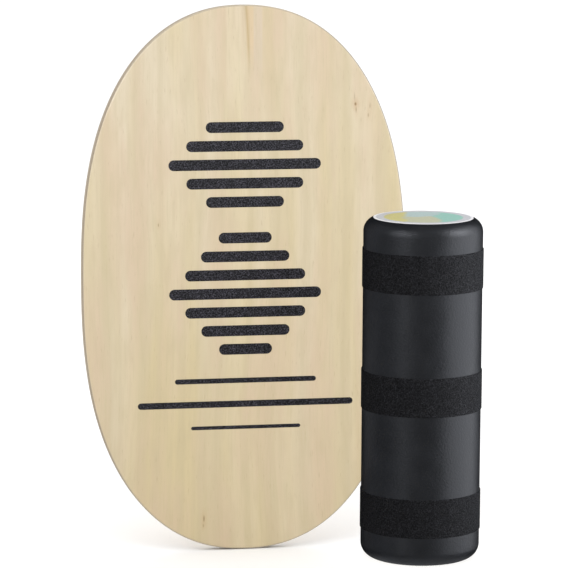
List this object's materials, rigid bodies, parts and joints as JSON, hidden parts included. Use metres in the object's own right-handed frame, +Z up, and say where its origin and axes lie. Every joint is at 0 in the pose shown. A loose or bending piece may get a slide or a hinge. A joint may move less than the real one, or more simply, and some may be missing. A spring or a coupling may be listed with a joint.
{
  "type": "balance board",
  "caption": "Oval plywood balance deck standing on end behind its upright hollow plastic roller with rubbery grip bands.",
  "frame": {"origin": "on the floor at the middle of the arrangement's bounding box", "axes": "+Z up along the standing deck and the roller, +X to the right from the deck to the roller, -Y towards the viewer, on the side that the deck's top face looks at"},
  "size_m": [0.5564, 0.1964, 0.7617],
  "materials": {
    "grip_print": "black gritty non-slip print",
    "face_veneer": "clear satin lacquer on pale veneer",
    "back_veneer": "clear satin lacquer on pale veneer",
    "core_ply_cross": "end grain, clear lacquer",
    "core_ply_long": "long grain, clear lacquer",
    "stop_wood": "clear satin lacquer on hardwood",
    "screw_steel": "zinc plated",
    "roller_plastic": "satin moulded charcoal plastic",
    "plug_plastic": "moulded black plastic",
    "grip_band": "matte grainy grip band",
    "label_film": "satin printed film"
  },
  "bodies": {
    "deck": {"grip_print": "grip_print", "face_veneer": "face_veneer", "core_ply_1": "core_ply_cross", "core_ply_2": "core_ply_long", "core_ply_3": "core_ply_cross", "core_ply_4": "core_ply_long", "core_ply_5": "core_ply_cross", "core_ply_6": "core_ply_long", "core_ply_7": "core_ply_cross", "back_veneer": "back_veneer", "roller_stop_head": "stop_wood", "roller_stop_foot": "stop_wood", "stop_screws": "screw_steel"},
    "roller": {"roller_shell": "roller_plastic", "vent_plug": "plug_plastic", "grip_band_base": "grip_band", "grip_band_middle": "grip_band", "grip_band_top": "grip_band", "end_label": "label_film"}
  },
  "joints": [
    {"name": "roller_spin", "type": "hinge", "parent": "deck", "child": "roller", "pos_m": [0.19439, -0.01422, 0.238], "axis": [0, 0, 1], "continuous": true}
  ]
}
